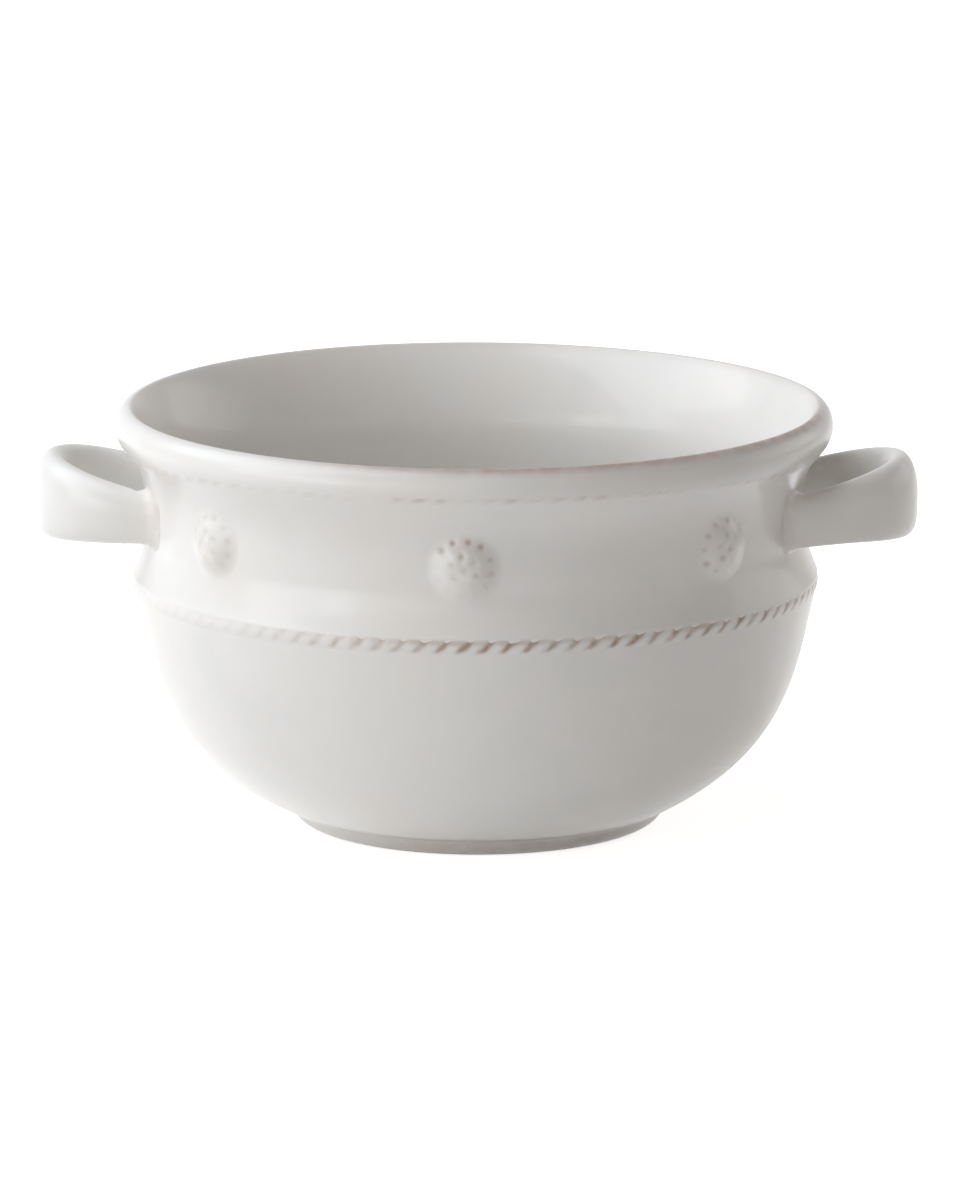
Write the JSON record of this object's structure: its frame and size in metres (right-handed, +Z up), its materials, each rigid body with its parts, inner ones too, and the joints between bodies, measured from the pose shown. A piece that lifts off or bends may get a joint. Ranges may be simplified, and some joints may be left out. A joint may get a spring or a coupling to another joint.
{
  "type": "lug soup bowl",
  "caption": "Footed stoneware soup bowl with a rolled lip, two strap lug handles, cord mouldings under the lip and the shoulder, and pressed berry ornaments round the neck.",
  "frame": {"origin": "middle of the foot, on the plane of the table", "axes": "+Z up, X through the two handles, -Y towards the front berry"},
  "size_m": [0.188, 0.152, 0.0898],
  "materials": {
    "glaze": "ivory white glaze, glossy, thin and warm over edges",
    "bare_clay": "glazed outside, wiped bare where it rests"
  },
  "bodies": {
    "root": {"bowl_body": "glaze", "foot_ring": "bare_clay", "left_lug": "glaze", "right_lug": "glaze", "lip_rope": "glaze", "shoulder_rope": "glaze", "berry_front_left": "glaze", "berry_front": "glaze", "berry_front_right": "glaze", "berry_back_left": "glaze", "berry_back": "glaze", "berry_back_right": "glaze"}
  },
  "joints": []
}
